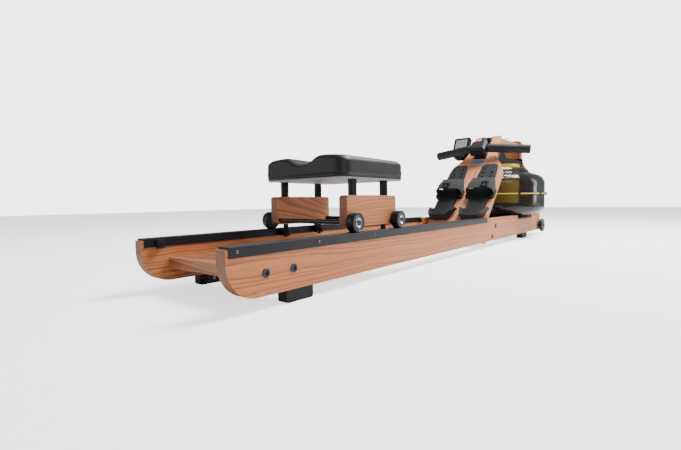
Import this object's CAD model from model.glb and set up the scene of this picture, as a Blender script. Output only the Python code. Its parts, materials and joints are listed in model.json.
import json
import math

import bpy
from mathutils import Matrix, Vector
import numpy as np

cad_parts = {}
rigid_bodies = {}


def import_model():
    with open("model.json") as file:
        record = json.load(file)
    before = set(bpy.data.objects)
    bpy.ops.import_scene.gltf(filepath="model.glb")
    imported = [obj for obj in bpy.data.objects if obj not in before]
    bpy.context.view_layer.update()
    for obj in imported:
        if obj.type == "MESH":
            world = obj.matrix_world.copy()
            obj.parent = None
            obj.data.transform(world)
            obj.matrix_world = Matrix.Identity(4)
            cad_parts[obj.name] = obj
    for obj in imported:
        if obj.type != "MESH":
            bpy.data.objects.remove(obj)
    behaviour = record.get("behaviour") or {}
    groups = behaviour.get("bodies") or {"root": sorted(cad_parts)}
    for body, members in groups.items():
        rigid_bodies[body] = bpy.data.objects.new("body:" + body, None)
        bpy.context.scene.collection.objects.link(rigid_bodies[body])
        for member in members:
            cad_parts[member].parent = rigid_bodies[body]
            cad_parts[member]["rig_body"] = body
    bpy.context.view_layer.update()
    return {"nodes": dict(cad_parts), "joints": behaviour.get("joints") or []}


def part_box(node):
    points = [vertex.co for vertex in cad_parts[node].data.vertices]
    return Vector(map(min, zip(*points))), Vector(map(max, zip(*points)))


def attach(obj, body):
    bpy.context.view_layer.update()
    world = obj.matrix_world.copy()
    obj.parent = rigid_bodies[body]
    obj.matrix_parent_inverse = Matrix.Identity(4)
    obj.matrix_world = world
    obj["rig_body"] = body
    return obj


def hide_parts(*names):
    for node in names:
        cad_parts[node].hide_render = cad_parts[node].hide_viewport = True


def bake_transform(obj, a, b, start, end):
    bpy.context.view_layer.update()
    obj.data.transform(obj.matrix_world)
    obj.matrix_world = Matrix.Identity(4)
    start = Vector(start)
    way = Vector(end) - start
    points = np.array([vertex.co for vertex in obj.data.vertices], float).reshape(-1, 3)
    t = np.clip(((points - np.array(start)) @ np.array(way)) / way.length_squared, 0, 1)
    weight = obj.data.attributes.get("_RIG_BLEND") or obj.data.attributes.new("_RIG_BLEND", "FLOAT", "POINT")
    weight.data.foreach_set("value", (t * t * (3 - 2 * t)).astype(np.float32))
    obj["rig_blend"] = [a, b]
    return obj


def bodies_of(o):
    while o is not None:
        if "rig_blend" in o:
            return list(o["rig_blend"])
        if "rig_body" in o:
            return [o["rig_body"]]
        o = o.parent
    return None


# The looks of a rowing machine with a water tank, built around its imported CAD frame.
# Metres. +X is the rower's right, +Y points from the seat to the tank, +Z is up.

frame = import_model()

MM = 0.001
X = Vector((1, 0, 0))
Y = Vector((0, 1, 0))
Z = Vector((0, 0, 1))


# ---------------------------------------------------------------- measures from the frame
def joint(name):
    return next(j for j in frame["joints"] if j["name"] == name)


def middle(node):
    low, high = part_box(node)
    return (low + high) / 2


def reach(node, direction):
    """How far a node goes along a direction: its lowest and highest value."""
    values = [v.co.dot(direction) for v in frame["nodes"][node].data.vertices]
    return min(values), max(values)


# The foot board's own axes: x across, s up the slope from a mark near its lower end, h out of its face.
SLOPE = Vector(joint("heel_slide_right_adjust")["axis"]).normalized()
FACE = X.cross(SLOPE)
BOARD_MARK = reach("foot_board", SLOPE)[0] + 80 * MM
BOARD_FACE = reach("foot_board", FACE)[1]


def on_board(x, s, h):
    """A point in the foot board's axes, given in millimetres."""
    return X * x * MM + SLOPE * (BOARD_MARK + s * MM) + FACE * (BOARD_FACE + h * MM)


# The monitor's own axes: x across, v up the display, w out of its face, from its hinge.
MONITOR_OUT = -Vector(joint("button_1_press")["axis"]).normalized()
MONITOR_UP = MONITOR_OUT.cross(X)
MONITOR_HINGE = Vector((0, *joint("monitor_tilt")["pos_m"][1:]))


def on_monitor(u, v, w):
    return MONITOR_HINGE + X * u * MM + MONITOR_UP * v * MM + MONITOR_OUT * w * MM


# ---------------------------------------------------------------- camera, floor and lights
CAMERA_PLACE = (0.7223, -1.4580, 0.1946)
CAMERA_YAW = math.radians(38.983)
CAMERA_PITCH = math.radians(3.321)
CAMERA_ROLL = math.radians(-0.724)
CAMERA_LENS = 21.337

# The white surround: what lights the machine, and what the camera alone sees.
FLOOR_GLOW = 1.5
SKY_LIGHT = 0.30
SKY_SEEN = 4.2


def make_camera():
    yaw, pitch, roll = CAMERA_YAW, CAMERA_PITCH, CAMERA_ROLL
    ahead = Vector((-math.sin(yaw) * math.cos(pitch), math.cos(yaw) * math.cos(pitch), -math.sin(pitch)))
    level = Vector((math.cos(yaw), math.sin(yaw), 0))
    upright = level.cross(ahead)
    right = level * math.cos(roll) + upright * math.sin(roll)
    up = upright * math.cos(roll) - level * math.sin(roll)
    turn = Matrix((right, up, -ahead)).transposed()
    data = bpy.data.cameras.new("camera")
    data.sensor_width = 36
    data.lens = CAMERA_LENS
    data.clip_start = 0.02
    camera = bpy.data.objects.new("camera", data)
    camera.matrix_world = Matrix.Translation(CAMERA_PLACE) @ turn.to_4x4()
    bpy.context.scene.collection.objects.link(camera)
    bpy.context.scene.camera = camera


def area_light(name, place, target, size, power):
    data = bpy.data.lights.new(name, "AREA")
    data.shape = "RECTANGLE"
    data.size, data.size_y = size
    data.energy = power
    light = bpy.data.objects.new(name, data)
    light.location = place
    light.rotation_euler = (Vector(target) - Vector(place)).to_track_quat("-Z", "Y").to_euler()
    bpy.context.scene.collection.objects.link(light)


make_camera()
area_light("overhead", (0.7, 0.9, 2.5), (0, 0, 0.0), (1.2, 1.4), 215)
area_light("front_fill", (3.2, -2.2, 1.5), (0, -0.3, 0.1), (2.0, 1.4), 30)
area_light("rear_strip", (-1.6, -2.7, 1.0), (0, -0.6, 0.2), (1.0, 1.6), 14)
area_light("tank_strip", (2.3, 2.1, 0.9), (0, 0.73, 0.25), (0.4, 1.5), 12)


# ---------------------------------------------------------------- material tools
class Look:
    """A material under construction. Sockets and constants are passed the same way."""

    def __init__(self, name):
        self.material = bpy.data.materials.new(name)
        self.material.use_nodes = True
        self.tree = self.material.node_tree
        self.shader = self.tree.nodes["Principled BSDF"]

    def node(self, kind, inputs=None, **settings):
        made = self.tree.nodes.new(kind)
        for key, value in settings.items():
            setattr(made, key, value)
        for key, value in (inputs or {}).items():
            self.join(value, made.inputs[key])
        return made

    def join(self, value, socket):
        if isinstance(value, bpy.types.NodeSocket):
            self.tree.links.new(value, socket)
        else:
            socket.default_value = value

    def set(self, **inputs):
        for key, value in inputs.items():
            self.join(value, self.shader.inputs[key.replace("_", " ").title().replace("Ior", "IOR")])

    def place(self):
        return self.node("ShaderNodeTexCoord").outputs["Object"]

    def facing(self):
        return self.node("ShaderNodeTexCoord").outputs["Normal"]

    def math(self, operation, a, b=0.0, clamp=False):
        made = self.node("ShaderNodeMath", {0: a, 1: b}, operation=operation, use_clamp=clamp)
        return made.outputs[0]

    def times(self, a, b):
        return self.math("MULTIPLY", a, b)

    def stretch(self, vector, factors):
        made = self.node("ShaderNodeVectorMath", {0: vector, 1: factors}, operation="MULTIPLY")
        return made.outputs[0]

    def dot(self, vector, direction):
        made = self.node("ShaderNodeVectorMath", {0: vector, 1: tuple(direction)}, operation="DOT_PRODUCT")
        return made.outputs["Value"]

    def pack(self, x, y, z):
        return self.node("ShaderNodeCombineXYZ", {0: x, 1: y, 2: z}).outputs[0]

    def noise(self, vector, scale=1.0, detail=2.0, roughness=0.5):
        inputs = {"Vector": vector, "Scale": scale, "Detail": detail, "Roughness": roughness}
        return self.node("ShaderNodeTexNoise", inputs).outputs[0]

    def cells(self, vector, scale, feature="F1"):
        made = self.node("ShaderNodeTexVoronoi", {"Vector": vector, "Scale": scale}, feature=feature)
        return made.outputs[0]

    def ramp(self, value, low, high, out_low=0.0, out_high=1.0):
        inputs = {"Value": value, "From Min": low, "From Max": high, "To Min": out_low, "To Max": out_high}
        return self.node("ShaderNodeMapRange", inputs, clamp=True).outputs[0]

    def mix(self, share, a, b, blend="MIX"):
        made = self.node("ShaderNodeMix", data_type="RGBA", blend_type=blend)
        self.join(share, made.inputs["Factor"])
        self.join(a if isinstance(a, bpy.types.NodeSocket) else (*a, 1), made.inputs["A"])
        self.join(b if isinstance(b, bpy.types.NodeSocket) else (*b, 1), made.inputs["B"])
        return made.outputs["Result"]

    def bump(self, height, depth):
        """A bump whose height from 0 to 1 stands depth metres tall."""
        made = self.node("ShaderNodeBump", {"Height": height, "Distance": depth, "Strength": 1.0})
        self.join(made.outputs[0], self.shader.inputs["Normal"])


# ---------------------------------------------------------------- wood
EARLY_WOOD = (0.560, 0.205, 0.072)
LATE_WOOD = (0.160, 0.042, 0.014)
END_GRAIN = (0.120, 0.055, 0.036)


def wood(name, along, across, heart, taper=0.02, spacing=0.0062, light=EARLY_WOOD, dark=LATE_WOOD, seed=0.0):
    """Oiled ash cut from a log. heart is the log's centre line as (across, through) in metres, and taper
    tilts that line along the grain, which draws the arches of a flat-sawn board."""
    look = Look(name)
    place = look.place()
    through = Vector(along).cross(Vector(across))
    a = look.dot(place, along)
    u = look.dot(place, across)
    v = look.dot(place, through)
    drift = look.noise(look.pack(look.times(a, 2.2), look.times(u, 9.0), seed), 1.0, 2.0)
    wave = look.noise(look.pack(look.times(a, 9.0), look.times(u, 26.0), seed + 7), 1.0, 1.0)
    shift = look.math("ADD", look.ramp(drift, 0, 1, -0.022, 0.022), look.ramp(wave, 0, 1, -0.005, 0.005))
    side = look.math("ADD", look.math("SUBTRACT", u, heart[0]), shift)
    lean = look.times(a, taper)
    deep = look.math("ADD", look.math("SUBTRACT", v, heart[1]), lean)
    radius = look.math("SQRT", look.math("ADD", look.math("POWER", side, 2.0), look.math("POWER", deep, 2.0)))
    uneven = look.noise(look.pack(look.times(radius, 55.0), 0.0, seed), 1.0, 0.0)
    rings = look.math("ADD", look.math("DIVIDE", radius, spacing), look.ramp(uneven, 0, 1, -1.3, 1.3))
    year = look.math("FRACT", rings)
    rise = look.ramp(year, 0.35, 0.86)
    fall = look.ramp(year, 0.9, 1.0, 1.0, 0.0)
    late = look.times(look.math("POWER", rise, 1.6), fall)
    strength = look.noise(look.pack(look.times(a, 3.0), look.times(radius, 40.0), seed), 1.0, 1.0)
    late = look.times(late, look.ramp(strength, 0.3, 0.7, 0.35, 1.0))
    fibre = look.noise(look.pack(look.times(a, 14.0), look.times(u, 700.0),
                                 look.times(v, 700.0)), 1.0, 3.0, 0.6)
    pores = look.noise(look.pack(look.times(a, 45.0), look.times(u, 1500.0),
                                 look.times(v, 1500.0)), 1.0, 1.0)
    pore = look.times(look.ramp(pores, 0.60, 0.68), look.ramp(late, 0.0, 0.5, 0.4, 1.0))
    tone = look.noise(look.pack(look.times(a, 1.6), look.times(u, 7.0), seed + 3), 1.0, 1.0)
    colour = look.mix(late, light, dark)
    colour = look.mix(look.ramp(fibre, 0.3, 0.75, 0.0, 0.32), colour, dark)
    cooler = (light[0] * 0.8, light[1] * 0.78, light[2] * 0.95)
    colour = look.mix(look.ramp(tone, 0.35, 0.7, 0.0, 0.35), colour, cooler)
    colour = look.mix(look.times(pore, 0.6), colour, tuple(c * 0.5 for c in dark))
    end = look.ramp(look.math("ABSOLUTE", look.dot(look.facing(), along)), 0.30, 0.60)
    colour = look.mix(look.times(end, 0.72), colour, END_GRAIN)
    look.set(base_color=colour, roughness=look.ramp(fibre, 0.2, 0.8, 0.36, 0.56), specular_ior_level=0.42)
    relief = look.math("SUBTRACT", look.times(fibre, 0.35), look.times(pore, 0.8))
    look.bump(relief, 0.00022)
    return look.material


# ---------------------------------------------------------------- other materials
def coated_steel(name, colour, roughness=0.38, peel=0.00003):
    """Powder coat: orange peel, a little dust and uneven gloss."""
    look = Look(name)
    place = look.place()
    peel_height = look.noise(place, 900.0, 2.0)
    cloud = look.noise(place, 14.0, 3.0)
    dust = look.ramp(look.noise(place, 260.0, 3.0, 0.7), 0.56, 0.78, 0.0, 0.22)
    shade = look.mix(dust, colour, tuple(c * 1.7 + 0.006 for c in colour))
    look.set(base_color=shade, roughness=look.ramp(cloud, 0.3, 0.7, roughness - 0.05, roughness + 0.08),
             specular_ior_level=0.3)
    look.bump(peel_height, peel)
    return look.material


def moulded(name, colour, roughness=0.5, grain=1400.0, depth=0.00006):
    """Injection moulding with an etched texture and slightly paler high spots."""
    look = Look(name)
    place = look.place()
    pits = look.cells(place, grain)
    cloud = look.noise(place, 22.0, 2.0)
    worn = look.ramp(pits, 0.1, 0.7, 0.0, 0.3)
    shade = look.mix(worn, tuple(c * 0.8 for c in colour), tuple(c * 1.35 + 0.004 for c in colour))
    look.set(base_color=shade, roughness=look.ramp(cloud, 0.3, 0.7, roughness - 0.06, roughness + 0.06),
             specular_ior_level=0.25)
    look.bump(pits, depth)
    return look.material


def track_metal(name):
    """Painted channel: fine lines along its length, and a polished band where the seat wheels run."""
    look = Look(name)
    place = look.place()
    lines = look.noise(look.stretch(place, (900.0, 4.0, 900.0)), 1.0, 3.0, 0.6)
    x = look.math("ABSOLUTE", look.dot(place, X))
    wheel = middle("seat_wheel_right_rear").x
    band = look.ramp(look.math("ABSOLUTE", look.math("SUBTRACT", x, wheel)), 0.006, 0.0105, 1.0, 0.0)
    top = look.ramp(look.dot(look.facing(), Z), 0.8, 0.95)
    worn = look.times(look.times(band, top), look.ramp(lines, 0.35, 0.65, 0.3, 1.0))
    shade = look.mix(look.ramp(lines, 0.3, 0.7), (0.004, 0.0045, 0.007), (0.009, 0.010, 0.014))
    shade = look.mix(look.times(worn, 0.4), shade, (0.09, 0.095, 0.11))
    look.set(base_color=shade, roughness=look.ramp(worn, 0.0, 1.0, 0.42, 0.26), metallic=0.0,
             specular_ior_level=0.3)
    look.bump(lines, 0.00003)
    return look.material


def seat_skin(name):
    """Skin of a moulded foam seat: a pebbled grain with soft creases."""
    look = Look(name)
    place = look.place()
    pebble = look.cells(place, 620.0, "SMOOTH_F1")
    crease = look.noise(place, 60.0, 4.0, 0.6)
    rub = look.ramp(look.dot(look.facing(), Z), 0.5, 0.95, 0.0, 0.35)
    shade = look.mix(look.ramp(crease, 0.35, 0.7), (0.007, 0.007, 0.008), (0.013, 0.013, 0.015))
    shade = look.mix(rub, shade, (0.022, 0.022, 0.025))
    look.set(base_color=shade, roughness=look.ramp(crease, 0.3, 0.7, 0.38, 0.52), specular_ior_level=0.3,
             sheen_weight=0.05, sheen_roughness=0.4)
    height = look.math("ADD", look.times(pebble, -0.7), look.times(crease, 0.3))
    look.bump(height, 0.00012)
    return look.material


def webbing(name, along, across, pitch=0.0016):
    """Woven strap: a herringbone of ribs that follows the strap's own direction."""
    colour = (0.008, 0.008, 0.009)
    look = Look(name)
    place = look.place()
    a = look.math("DIVIDE", look.dot(place, along), pitch)
    u = look.math("DIVIDE", look.dot(place, across), pitch)
    ribs = look.math("SINE", look.times(u, math.tau))
    over = look.math("SINE", look.times(look.math("ADD", a, look.times(u, 0.5)), math.tau))
    weave = look.times(look.math("ADD", look.times(ribs, over), 1.0), 0.5)
    fuzz = look.noise(place, 1600.0, 2.0)
    shade = look.mix(weave, tuple(c * 0.45 for c in colour), tuple(c * 1.9 for c in colour))
    shade = look.mix(look.ramp(fuzz, 0.55, 0.8, 0.0, 0.3), shade, tuple(c * 3 + 0.01 for c in colour))
    look.set(base_color=shade, roughness=0.82, sheen_weight=0.1, sheen_roughness=0.5, specular_ior_level=0.3)
    look.bump(look.math("ADD", weave, look.times(fuzz, 0.3)), 0.00025)
    return look.material


def clear_plastic(name, colour, thin, thick, roughness=0.06):
    """Tinted clear plastic. It lets light through face on and closes up at a glancing angle, as a thick
    wall does."""
    look = Look(name)
    place = look.place()
    edge = look.node("ShaderNodeLayerWeight", {"Blend": 0.32}).outputs["Facing"]
    haze = look.noise(look.stretch(place, (30.0, 30.0, 60.0)), 1.0, 3.0)
    marks = look.noise(look.stretch(place, (160.0, 160.0, 12.0)), 1.0, 3.0, 0.7)
    scuff = look.ramp(marks, 0.62, 0.8, 0.0, 0.25)
    cover = look.math("ADD", look.ramp(edge, 0.05, 0.95, thin, thick), look.times(scuff, 0.12), True)
    shade = look.mix(look.ramp(haze, 0.35, 0.7), colour, tuple(c * 1.25 + 0.004 for c in colour))
    look.set(base_color=shade, roughness=look.ramp(scuff, 0.0, 0.25, roughness, roughness + 0.2), alpha=cover,
             specular_ior_level=0.6)
    look.bump(haze, 0.00006)
    return look.material


def bare_metal(name, colour=(0.62, 0.62, 0.64), roughness=0.28):
    look = Look(name)
    place = look.place()
    scratch = look.noise(look.stretch(place, (300.0, 1500.0, 1500.0)), 1.0, 3.0, 0.6)
    stain = look.noise(place, 80.0, 2.0)
    shade = look.mix(look.ramp(stain, 0.4, 0.7, 0.0, 0.5), colour, tuple(c * 0.6 for c in colour))
    look.set(base_color=shade, metallic=1.0,
             roughness=look.ramp(scratch, 0.3, 0.7, roughness - 0.08, roughness + 0.1))
    look.bump(scratch, 0.00002)
    return look.material


def display(name):
    """Unlit liquid crystal: a faint dot grid under a glossy pane."""
    look = Look(name)
    place = look.place()
    u = look.times(look.dot(place, X), 1200.0)
    v = look.times(look.dot(place, MONITOR_UP), 1200.0)
    grid = look.math("MAXIMUM", look.math("FRACT", u), look.math("FRACT", v))
    cloud = look.noise(place, 35.0, 2.0)
    shade = look.mix(look.ramp(cloud, 0.3, 0.7), (0.27, 0.28, 0.27), (0.36, 0.37, 0.35))
    shade = look.mix(look.ramp(grid, 0.86, 0.95, 0.0, 0.14), shade, (0.16, 0.17, 0.16))
    look.set(base_color=shade, roughness=0.35, coat_weight=0.6, coat_roughness=0.06)
    look.bump(grid, 0.00001)
    return look.material


def floor_paint(name):
    look = Look(name)
    cloud = look.noise(look.place(), 1.5, 3.0)
    seen = look.node("ShaderNodeLightPath").outputs["Is Camera Ray"]
    look.set(base_color=look.mix(cloud, (0.86, 0.85, 0.85), (0.89, 0.885, 0.88)), roughness=0.9,
             specular_ior_level=0.1, emission_color=(1, 1, 1, 1),
             emission_strength=look.times(seen, FLOOR_GLOW))
    return look.material


RAIL_LIGHT = (0.570, 0.200, 0.066)
STEEL_BLACK = (0.0045, 0.0045, 0.0055)

rail_right = wood("ash_right_rail", Y, Z, (0.165, 0.205), taper=0.022, spacing=0.0088, light=RAIL_LIGHT)
rail_left = wood("ash_left_rail", Y, Z, (0.165, -0.20), taper=0.026, spacing=0.0088, light=RAIL_LIGHT,
                 seed=11.0)
block_ash = wood("ash_blocks", Y, Z, (0.260, 0.050), taper=0.10, spacing=0.0064, seed=23.0)
board_ash = wood("ash_foot_board", SLOPE, X, (0.01, 0.06), taper=0.03, spacing=0.0075,
                 light=(0.66, 0.285, 0.130), dark=(0.34, 0.115, 0.045), seed=31.0)
upright_ash = wood("ash_front_board", Z, X, (0.0, 1.08), taper=0.04, spacing=0.0075, seed=41.0)
strut_ash = wood("ash_struts", Y, Z, (0.40, 0.05), taper=0.02, light=(0.60, 0.30, 0.18), seed=47.0)
cross_ash = wood("ash_crossboard", X, Y, (-0.95, -0.02), taper=0.05, spacing=0.0085,
                 light=(0.46, 0.19, 0.09), seed=53.0)
cleat_ash = wood("ash_cleats", Y, Z, (0.3, 0.0), seed=59.0)
track_black = track_metal("track_paint")
steel_black = coated_steel("black_powder_coat", STEEL_BLACK)
post_black = coated_steel("black_gloss_coat", (0.010, 0.010, 0.012), roughness=0.2)
rubber_black = moulded("black_rubber", (0.009, 0.009, 0.011), roughness=0.62, grain=900.0)
grip_rubber = moulded("grip_rubber", (0.016, 0.016, 0.018), roughness=0.55, grain=1100.0, depth=0.0001)
plastic_black = moulded("black_plastic", (0.008, 0.008, 0.010), roughness=0.46)
tray_black = moulded("footrest_plastic", (0.011, 0.011, 0.013), roughness=0.5, grain=800.0, depth=0.0001)
seat_grey = moulded("seat_shell_grey", (0.33, 0.33, 0.34), roughness=0.5)
seat_black = seat_skin("seat_skin")
tyre_black = moulded("wheel_tyre", (0.007, 0.0075, 0.010), roughness=0.38, grain=1700.0, depth=0.00003)
wheel_face = moulded("wheel_face", (0.050, 0.052, 0.060), roughness=0.42, grain=1700.0, depth=0.00003)
hub_grey = moulded("wheel_hub_grey", (0.16, 0.165, 0.175), roughness=0.4)
strap_weave = webbing("foot_strap_weave", SLOPE, X, pitch=0.0022)
pull_weave = webbing("pull_strap_weave", Y, X)
tank_smoke = clear_plastic("smoked_tank", (0.010, 0.011, 0.013), 0.42, 0.98)
drum_yellow = clear_plastic("yellow_drum", (0.74, 0.50, 0.02), 0.55, 0.92)
gasket_yellow = moulded("yellow_seal", (0.80, 0.68, 0.10), roughness=0.35)
impeller_grey = moulded("impeller_grey", (0.10, 0.10, 0.11), roughness=0.45)
lcd_grey = display("unlit_display")
bright_steel = bare_metal("bright_steel")
badge_silver = moulded("badge_silver", (0.52, 0.55, 0.60), roughness=0.3, depth=0.00001)
badge_field = moulded("badge_field", (0.17, 0.22, 0.34), roughness=0.34, depth=0.00001)
screw_dark = bare_metal("dark_screw", (0.20, 0.20, 0.23), 0.22)
socket_dark = coated_steel("socket_shadow", (0.004, 0.004, 0.005), roughness=0.5)
cap_blue = coated_steel("bolt_cap", (0.030, 0.036, 0.046), roughness=0.35)
digit_grey = moulded("display_segments", (0.07, 0.073, 0.07), roughness=0.4)
button_green = moulded("green_button", (0.46, 0.62, 0.08), roughness=0.4)
button_white = moulded("white_button", (0.62, 0.68, 0.66), roughness=0.4)


# ---------------------------------------------------------------- finishing the CAD nodes
def finish_node(node, material, edge=0.0):
    """Gives a CAD node its material, and rounds its edges by a modifier."""
    piece = frame["nodes"][node]
    piece.data.materials.clear()
    piece.data.materials.append(material)
    if edge:
        weld = piece.modifiers.new("weld", "WELD")
        weld.merge_threshold = 1e-5
        flat = piece.modifiers.new("flat_faces", "DECIMATE")
        flat.decimate_type = "DISSOLVE"
        flat.angle_limit = math.radians(0.5)
        bevel = piece.modifiers.new("edges", "BEVEL")
        bevel.width = edge
        bevel.segments = 2
        bevel.limit_method = "ANGLE"
        bevel.angle_limit = math.radians(38)
        bevel.use_clamp_overlap = True
        piece.modifiers.new("normals", "WEIGHTED_NORMAL")


SIDES = ("right", "left")
ENDS = ("rear", "front")

FINISHES = [
    (rail_right, 0.0012, ["right_rail"]),
    (rail_left, 0.0012, ["left_rail"]),
    (cross_ash, 0.0, ["rear_crossboard"]),
    (board_ash, 0.0015, ["foot_board"]),
    (upright_ash, 0.0015, ["front_board"]),
    (strut_ash, 0.0010, ["top_struts"]),
    (cleat_ash, 0.0010, ["board_cleats"]),
    (block_ash, 0.0010, ["carriage_blocks"]),
    (track_black, 0.0004, ["right_track", "left_track"]),
    (steel_black, 0.0004, ["drive_bridge", "roller_bracket", "wheel_brackets", "strut_brace", "monitor_arm"]),
    (steel_black, 0.0006, ["tank_cradle"]),
    (steel_black, 0.0, ["handle_bar", "tank_clamps"]),
    (post_black, 0.0, ["seat_posts", "carriage_axles"]),
    (rubber_black, 0.0015, ["feet"]),
    (rubber_black, 0.0008, ["seat_stops"]),
    (tray_black, 0.0008, ["footrest_bases", "heel_slide_right", "heel_slide_left"]),
    (plastic_black, 0.0008, ["handle_cradle", "strap_buckles", "monitor_housing", "handle_body"]),
    (plastic_black, 0.0, ["drive_spool", "strap_roller", "tank_fill_plug"]),
    (grip_rubber, 0.0, ["handle_grips"]),
    (seat_grey, 0.0008, ["seat_plate"]),
    (tank_smoke, 0.0, ["tank_lower_shell", "tank_upper_shell"]),
    (drum_yellow, 0.0, ["inner_reservoir", "resistance_dial"]),
    (gasket_yellow, 0.0, ["tank_gasket"]),
    (impeller_grey, 0.0006, ["impeller"]),
    (lcd_grey, 0.0, ["monitor_screen"]),
    (button_green, 0.0, ["monitor_button_1"]),
    (button_white, 0.0, ["monitor_button_2"]),
    (bright_steel, 0.0, ["drive_shaft"]),
    (pull_weave, 0.0, ["drive_strap"]),
    (tyre_black, 0.0, [f"guide_roller_{s}_{e}" for s in SIDES for e in ENDS]),
]
for look_of_nodes, rounding, names in FINISHES:
    for one in names:
        finish_node(one, look_of_nodes, rounding)


# ---------------------------------------------------------------- mesh tools
def new_piece(name, points, faces, looks, body, stands_for=(), numbers=None, crease=38):
    mesh = bpy.data.meshes.new(name)
    mesh.from_pydata([tuple(point) for point in points], [], faces)
    for look in looks:
        mesh.materials.append(look)
    if numbers:
        mesh.polygons.foreach_set("material_index", numbers)
    mesh.polygons.foreach_set("use_smooth", [True] * len(faces))
    mesh.set_sharp_from_angle(angle=math.radians(crease))
    piece = bpy.data.objects.new(name, mesh)
    bpy.context.scene.collection.objects.link(piece)
    if body:
        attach(piece, body)
    if stands_for:
        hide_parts(*stands_for)
    return piece


def body_of(node):
    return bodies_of(frame["nodes"][node])[0]


def lathe(centre, axis, outline, steps=48):
    """Turns an outline of (radius, height, look) in millimetres about an axis. A radius of 0 closes it."""
    axis = Vector(axis).normalized()
    side = axis.orthogonal().normalized()
    over = axis.cross(side)
    points, faces, numbers, rows = [], [], [], []
    for radius, height, _ in outline:
        level = Vector(centre) + axis * height * MM
        count = 1 if radius == 0 else steps
        rows.append((len(points), count))
        for i in range(count):
            turn = math.tau * i / steps
            points.append(level + (side * math.cos(turn) + over * math.sin(turn)) * radius * MM)
    for k in range(len(outline) - 1):
        (a, count_a), (b, count_b) = rows[k], rows[k + 1]
        for i in range(steps):
            j = (i + 1) % steps
            if count_a == 1:
                faces.append((a, b + j, b + i))
            elif count_b == 1:
                faces.append((a + i, a + j, b))
            else:
                faces.append((a + i, a + j, b + j, b + i))
            numbers.append(outline[k][2])
    return points, faces, numbers


def joined(parts):
    """Several (points, faces, numbers) as one."""
    points, faces, numbers = [], [], []
    for more_points, more_faces, more_numbers in parts:
        start = len(points)
        points += more_points
        faces += [tuple(start + i for i in face) for face in more_faces]
        numbers += more_numbers
    return points, faces, numbers


def swept(path, normals, section, across, look=0):
    """Carries a closed section of (across, out) millimetres along a path, and caps both ends."""
    points, faces = [], []
    count = len(section)
    for place, normal in zip(path, normals):
        points += [place + across * a * MM + normal * h * MM for a, h in section]
    for k in range(len(path) - 1):
        for i in range(count):
            j = (i + 1) % count
            low, high = k * count, (k + 1) * count
            faces.append((low + i, high + i, high + j, low + j))
    faces.append(tuple(range(count)))
    last = (len(path) - 1) * count
    faces.append(tuple(last + i for i in reversed(range(count))))
    return points, faces, [look] * len(faces)


def islands(node):
    """The low and high corners of each separate solid of a CAD node."""
    mesh = frame["nodes"][node].data
    root = list(range(len(mesh.vertices)))

    def top(i):
        while root[i] != i:
            root[i] = root[root[i]]
            i = root[i]
        return i

    same = {}
    for vertex in mesh.vertices:
        key = tuple(round(c * 1e5) for c in vertex.co)
        root[top(vertex.index)] = top(same.setdefault(key, vertex.index))
    for edge in mesh.edges:
        a, b = edge.vertices
        root[top(a)] = top(b)
    groups = {}
    for vertex in mesh.vertices:
        groups.setdefault(top(vertex.index), []).append(vertex.co)
    found = []
    for group in groups.values():
        low = Vector([min(co[k] for co in group) for k in range(3)])
        high = Vector([max(co[k] for co in group) for k in range(3)])
        found.append((low, high))
    return found


# ---------------------------------------------------------------- seat cushion
SEAT_CORNER = 28
SEAT_REAR_HALF = 140
SEAT_POINTS = 128
DIP_TOP = 291.5
DIP_HALF = 12
HUMP = 60
HUMP_RISE = 18.5
SIDE_RUN = 80
SIDE_FALL = 6
CUSHION_REACH = 135


def seat_edge():
    """The cushion's outline seen from above, walked at even steps, in metres."""
    low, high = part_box("seat_pad")
    front = high.x
    rear = SEAT_REAR_HALF * MM
    r = SEAT_CORNER * MM
    corners = [(-rear, low.y), (rear, low.y), (front, high.y), (-front, high.y)]
    outline = []
    for k, corner in enumerate(corners):
        here = Vector(corner)
        before = (Vector(corners[k - 1]) - here).normalized()
        after = (Vector(corners[(k + 1) % 4]) - here).normalized()
        inside = (before + after).normalized()
        half = before.angle(after) / 2
        centre = here + inside * r / math.sin(half)
        first = (here + before * r / math.tan(half)) - centre
        last = (here + after * r / math.tan(half)) - centre
        for i in range(13):
            spoke = first.lerp(last, i / 12).normalized()
            outline.append(centre + spoke * r)
    lengths = [0.0]
    closed = outline + [outline[0]]
    for a, b in zip(closed, closed[1:]):
        lengths.append(lengths[-1] + (b - a).length)
    even, k = [], 0
    for i in range(SEAT_POINTS):
        want = lengths[-1] * i / SEAT_POINTS
        while lengths[k + 1] < want:
            k += 1
        share = (want - lengths[k]) / (lengths[k + 1] - lengths[k])
        even.append(closed[k].lerp(closed[k + 1], share))
    return even


def crown(x):
    """Height of the cushion's top in metres: a dip in the middle between two broad humps."""
    away = abs(x) / MM
    rise = min(max((away - DIP_HALF) / (HUMP - DIP_HALF), 0), 1)
    fall = max(away - HUMP, 0) / SIDE_RUN
    return (DIP_TOP + HUMP_RISE * (0.5 - 0.5 * math.cos(math.pi * rise)) - SIDE_FALL * fall**2) * MM


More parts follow.
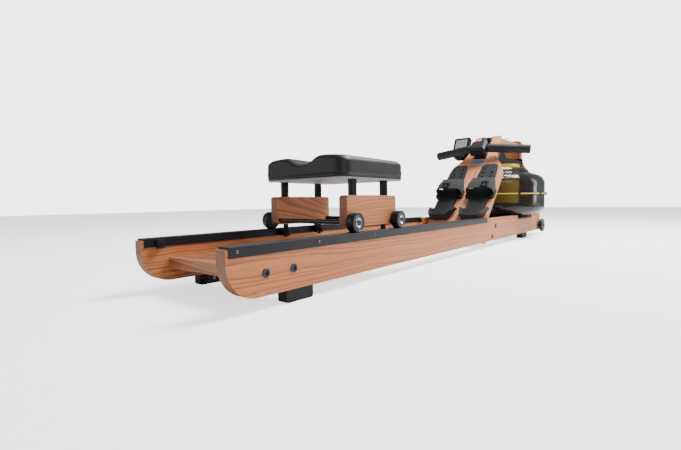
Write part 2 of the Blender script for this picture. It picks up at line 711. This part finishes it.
def make_cushion():
    edge = seat_edge()
    centre = sum(edge, Vector((0, 0))) / len(edge)
    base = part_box("seat_pad")[0].z / MM
    soft = 15
    points, faces = [], []
    points.append((centre.x, centre.y, crown(centre.x)))
    insets = [116, 96, 76, 56, 40, 28, 20, 15, 11, 8, 5.5, 3.5, 2, 0.9, 0.2]
    rings = []
    for inset in insets:
        ring = []
        for spot in edge:
            inward = centre - spot
            place = spot + inward * (inset / CUSHION_REACH)
            drop = soft - math.sqrt(max(soft**2 - max(soft - inset, 0) ** 2, 0))
            ring.append((place.x, place.y, crown(place.x) - drop * MM))
        rings.append(ring)
    wall = [(0.3, base + 34), (0.0, base + 22), (-0.6, base + 12), (-0.6, base + 9), (1.0, base + 8.4),
            (1.0, base + 7.4), (-0.4, base + 6.8), (-0.6, base + 2), (0.6, base + 0.4), (6, base),
            (60, base), (120, base)]
    for inset, height in wall:
        ring = []
        for spot in edge:
            inward = (centre - spot).normalized()
            place = spot + inward * inset * MM
            ring.append((place.x, place.y, min(height * MM, crown(place.x) - soft * MM)))
        rings.append(ring)
    for ring in rings:
        points += ring
    n = SEAT_POINTS
    for i in range(n):
        faces.append((0, 1 + i, 1 + (i + 1) % n))
    for k in range(len(rings) - 1):
        low, high = 1 + k * n, 1 + (k + 1) * n
        for i in range(n):
            j = (i + 1) % n
            faces.append((low + i, high + i, high + j, low + j))
    last = 1 + (len(rings) - 1) * n
    faces.append(tuple(last + i for i in reversed(range(n))))
    cushion = new_piece("seat_cushion", points, faces, [seat_black], body_of("seat_pad"), ["seat_pad"],
                        crease=80)
    smooth = cushion.modifiers.new("smooth", "SUBSURF")
    smooth.levels = smooth.render_levels = 1


make_cushion()


# ---------------------------------------------------------------- wheels
def make_seat_wheels():
    outline = [
        (4.1, -11, 1), (10.6, -11, 1), (11.2, -10.3, 1), (19.2, -10.3, 1), (19.8, -11, 0), (21.8, -11, 0),
        (23.0, -10.5, 0), (23.47, -9.3, 0), (23.47, 9.3, 0), (23.0, 10.5, 0), (21.8, 11, 0), (20.0, 11, 0),
        (19.3, 10.1, 1), (13.2, 9.7, 1), (12.6, 10.6, 1), (11.4, 10.9, 2), (10.9, 10.2, 2), (7.6, 10.2, 2),
        (7.2, 10.9, 2), (4.1, 10.9, 1), (4.1, -11, 1),
    ]
    for side in SIDES:
        out = X if side == "right" else -X
        for end in ENDS:
            node = f"seat_wheel_{side}_{end}"
            points, faces, numbers = lathe(middle(node), out, outline, 64)
            new_piece(f"{node}_detailed", points, faces, [tyre_black, wheel_face, bright_steel],
                      body_of(node), [node], numbers)


def make_transport_wheels():
    outline = [
        (5.1, -8, 1), (12, -8, 1), (13, -4, 1), (24, -4, 1), (26, -7.4, 1), (27, -8, 0), (32, -8, 0),
        (34.6, -6.8, 0), (35.7, -4.5, 0), (35.7, 4.5, 0), (34.6, 6.8, 0), (32, 8, 0), (27.6, 8, 0),
        (27, 7.3, 1), (26, 7.3, 1), (24.2, 3.8, 1), (13, 3.8, 1), (12, 7.8, 1), (5.1, 8, 1), (5.1, -8, 1),
    ]
    for side in SIDES:
        out = X if side == "right" else -X
        node = f"transport_wheel_{side}"
        wheel = [lathe(middle(node), out, outline, 72)]
        for i in range(6):
            turn = math.tau * i / 6
            arm = Y * math.cos(turn) + Z * math.sin(turn)
            flat = arm.cross(out)
            path = [middle(node) + arm * r * MM for r in (12, 25)]
            section = [(-7, -1.2), (7, -1.2), (7, 1.2), (-7, 1.2)]
            wheel.append(swept(path, [flat, flat], section, out, 1))
        points, faces, numbers = joined(wheel)
        new_piece(f"{node}_detailed", points, faces, [tyre_black, hub_grey], body_of(node), [node],
                  numbers)


make_seat_wheels()
make_transport_wheels()


# ---------------------------------------------------------------- screws and bolts
TRACK_MIDDLE = 135
CAP_HEIGHT = 2.2


def button_head(centre, out, radius, height, look):
    """A low domed head with a socket in it."""
    return lathe(centre, out, [
        (radius, -0.2, look), (radius, height * 0.45, look), (radius * 0.88, height * 0.8, look),
        (radius * 0.6, height, look), (radius * 0.46, height, 2), (radius * 0.42, height * 0.25, 2),
        (0, height * 0.2, 2),
    ], 24)


def make_screws():
    heads = []
    for low, high in islands("frame_screws"):
        size = high - low
        centre = (low + high) / 2
        if size.z < size.x:
            foot = Vector((centre.x, centre.y, low.z))
            heads.append(lathe(foot, Z, [
                (9.0, 0, 1), (9.0, 0.9, 1), (6.6, 1.0, 1), (6.3, 3.9, 1), (5.4, 4.5, 1), (0, 4.5, 1),
            ], 24))
            continue
        inner_face = abs(centre.x) < TRACK_MIDDLE * MM
        side = 1 if centre.x > 0 else -1
        out = X * (-side if inner_face else side)
        near = low.x if out.x > 0 else high.x
        radius = size.y / 2 / MM
        look = 0 if radius < 3 else 1
        heads.append(button_head(Vector((near, centre.y, centre.z)), out, radius, size.x / MM, look))
    points, faces, numbers = joined(heads)
    new_piece("frame_screws_detailed", points, faces, [screw_dark, bright_steel, socket_dark], "frame",
              ["frame_screws"], numbers)
    caps = []
    for low, high in islands("rail_bolts"):
        side = 1 if low.x > 0 else -1
        face = min(abs(low.x), abs(high.x))
        outer = max(abs(low.x), abs(high.x))
        start = Vector((side * (outer - CAP_HEIGHT * MM), (low.y + high.y) / 2, (low.z + high.z) / 2))
        caps.append(lathe(start, X * side, [
            (4.0, (face - outer) / MM + CAP_HEIGHT, 0), (4.0, 0, 0), (9.0, 0, 0), (9.0, 1.2, 0),
            (8.4, 1.9, 0), (7.6, CAP_HEIGHT, 0), (5.2, CAP_HEIGHT, 0), (4.8, 1.9, 1), (4.6, 0.5, 1),
            (0, 0.5, 1),
        ], 36))
    points, faces, numbers = joined(caps)
    new_piece("rail_bolts_detailed", points, faces, [cap_blue, socket_dark], "frame", ["rail_bolts"],
              numbers)


make_screws()


# ---------------------------------------------------------------- straps
FOOT_MIDDLE = 72
STRAP_HALF = 60.6
STRAP_LOW = 14.5
STRAP_BEND = 22
STRAP_UNDER = 1.6
STRAP_TAPER = 10
PULL_HANDLE_HEIGHT = 46
PULL_ROLLER_HEIGHT = 19.2


def arch_path(half, top, low, radius):
    """The strap's way over a foot in (x, h) millimetres: up one side, across, and down the other."""
    path = [(half, low), (half, low + 10), (half - 0.4, top - 24)]
    path += [(half - 0.4 - radius * (1 - math.cos(a)), top - radius + radius * math.sin(a))
             for a in [math.pi / 2 * i / 10 for i in range(2, 11)]]
    bow = [(x, top + 0.6 * math.cos(x * 0.08)) for x in (30, 22, 14, 7, 0)]
    right = path + bow
    return right + [(-x, h) for x, h in reversed(right[:-1])]


def make_foot_straps():
    mark = BOARD_MARK / MM
    low_s, high_s = (v / MM - mark for v in reach("foot_straps", SLOPE))
    reach_top = (reach("foot_straps", FACE)[1] - BOARD_FACE) / MM - STRAP_UNDER
    flat_path = arch_path(STRAP_HALF, reach_top, STRAP_LOW, STRAP_BEND)
    width = high_s - low_s
    half_width = width / 2
    section = [(0, -STRAP_UNDER), (0, 0.7), (0.6, 1.3), (6.4, 1.3), (7.2, 0.2), (14, 0.0), (half_width, 0.15),
               (width - 14, 0.0), (width - 7.2, 0.2), (width - 6.4, 1.3), (width - 0.6, 1.3), (width, 0.7),
               (width, -STRAP_UNDER), (half_width, -1.8)]
    section = [(a, h - STRAP_TAPER * max(a - half_width, 0) / half_width) for a, h in reversed(section)]
    for side, name in ((1, "right"), (-1, "left")):
        centre = FOOT_MIDDLE * side
        path, normals = [], []
        for k, (x, h) in enumerate(flat_path):
            before = flat_path[max(k - 1, 0)]
            after = flat_path[min(k + 1, len(flat_path) - 1)]
            dx, dh = after[0] - before[0], after[1] - before[1]
            size = math.hypot(dx, dh)
            path.append(on_board(centre + x, low_s, h))
            normals.append(X * (dh / size) - FACE * (dx / size))
        points, faces, _ = swept(path, normals, section, SLOPE)
        # One CAD node holds both straps, so the right one stands for it.
        nodes = ["foot_straps"] if side == 1 else []
        strap = new_piece(f"foot_strap_{name}", points, faces, [strap_weave], "frame", nodes)


def make_pull_strap():
    """The strap's visible run, which lengthens as the handle is pulled."""
    run = reach("pull_strap", SLOPE)
    start = on_board(0, (run[0] - BOARD_MARK) / MM, PULL_HANDLE_HEIGHT)
    end = on_board(0, (run[1] - BOARD_MARK) / MM, PULL_ROLLER_HEIGHT)
    steps = 60
    path = [start.lerp(end, i / steps) for i in range(steps + 1)]
    up = X.cross(end - start).normalized()
    section = [(-9, -0.8), (-8.6, -1), (8.6, -1), (9, -0.8), (9, 0.8), (8.6, 1), (0, 1.15), (-8.6, 1),
               (-9, 0.8)]
    points, faces, _ = swept(path, [up] * len(path), section, X)
    strap = new_piece("pull_strap_ribbon", points, faces, [pull_weave], None, ["pull_strap"])
    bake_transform(strap, "frame", "handle", end, start)


make_foot_straps()
make_pull_strap()


# ---------------------------------------------------------------- badge and display
BADGE_MIDDLE = (-3, 409)
BADGE_HALF = (38, 18)


def make_badge():
    """A blank oval plate on the foot board."""
    rings = [(1.0, -0.1, 0), (1.0, 0.9, 0), (0.97, 1.3, 0), (0.93, 1.3, 0), (0.90, 0.8, 1), (0.5, 1.0, 1)]
    steps = 64
    points, faces, numbers = [], [], []
    for scale, height, _ in rings:
        inset = BADGE_HALF[1] * (1 - scale)
        for i in range(steps):
            turn = math.tau * i / steps
            across = BADGE_MIDDLE[0] + (BADGE_HALF[0] - inset) * math.cos(turn)
            along = BADGE_MIDDLE[1] + (BADGE_HALF[1] - inset) * math.sin(turn)
            points.append(on_board(across, along, height))
    for k in range(len(rings) - 1):
        for i in range(steps):
            j = (i + 1) % steps
            faces.append((k * steps + i, k * steps + j, (k + 1) * steps + j, (k + 1) * steps + i))
            numbers.append(rings[k][2])
    faces.append(tuple((len(rings) - 1) * steps + i for i in range(steps)))
    numbers.append(1)
    new_piece("badge_plate", points, faces, [badge_silver, badge_field], "frame",
              numbers=numbers)


SEGMENTS = {
    "a": ((0.1, 0.94), (0.9, 1.0)), "g": ((0.1, 0.47), (0.9, 0.53)), "d": ((0.1, 0.0), (0.9, 0.06)),
    "f": ((0.0, 0.54), (0.12, 0.96)), "b": ((0.88, 0.54), (1.0, 0.96)),
    "e": ((0.0, 0.04), (0.12, 0.46)), "c": ((0.88, 0.04), (1.0, 0.46)),
}


def make_digits():
    """Unlit figures of a plain display: rows of seven-bar digits."""
    u_low, u_high = (v / MM for v in reach("monitor_screen", X))
    v_low, v_high = ((v - MONITOR_HINGE.dot(MONITOR_UP)) / MM for v in reach("monitor_screen", MONITOR_UP))
    out = (reach("monitor_screen", MONITOR_OUT)[1] - MONITOR_HINGE.dot(MONITOR_OUT)) / MM + 0.08
    points, faces = [], []
    rows = 4
    pitch = (v_high - v_low) / rows
    for row in range(rows):
        height = pitch * 0.62
        v0 = v_low + pitch * (row + 0.19)
        for column in range(4):
            wide = height * 0.52
            u0 = u_low + 5 + column * (u_high - u_low - 8) / 4
            for (a, b), (c, d) in SEGMENTS.values():
                first = len(points)
                lean = 0.08 * height
                for x, y in ((a, b), (c, b), (c, d), (a, d)):
                    points.append(on_monitor(u0 + x * wide + y * lean, v0 + y * height, out))
                faces.append((first, first + 1, first + 2, first + 3))
    new_piece("display_digits", points, faces, [digit_grey], body_of("monitor_screen"))


make_badge()
make_digits()


# ---------------------------------------------------------------- floor and surround
def make_floor():
    mesh = bpy.data.meshes.new("floor")
    half = 9.0
    corners = [(-half, -half, 0), (half, -half, 0), (half, half, 0), (-half, half, 0)]
    mesh.from_pydata(corners, [], [(0, 1, 2, 3)])
    mesh.materials.append(floor_paint("floor_paint"))
    floor = bpy.data.objects.new("floor", mesh)
    bpy.context.scene.collection.objects.link(floor)


def make_surround():
    world = bpy.data.worlds.new("studio")
    world.use_nodes = True
    background = world.node_tree.nodes["Background"]
    background.inputs["Color"].default_value = (1.0, 1.0, 1.0, 1)
    tree = world.node_tree
    seen = tree.nodes.new("ShaderNodeLightPath").outputs["Is Camera Ray"]
    choose = tree.nodes.new("ShaderNodeMapRange")
    choose.inputs["To Min"].default_value = SKY_LIGHT
    choose.inputs["To Max"].default_value = SKY_SEEN
    tree.links.new(seen, choose.inputs["Value"])
    tree.links.new(choose.outputs[0], background.inputs["Strength"])
    bpy.context.scene.world = world


make_floor()
make_surround()
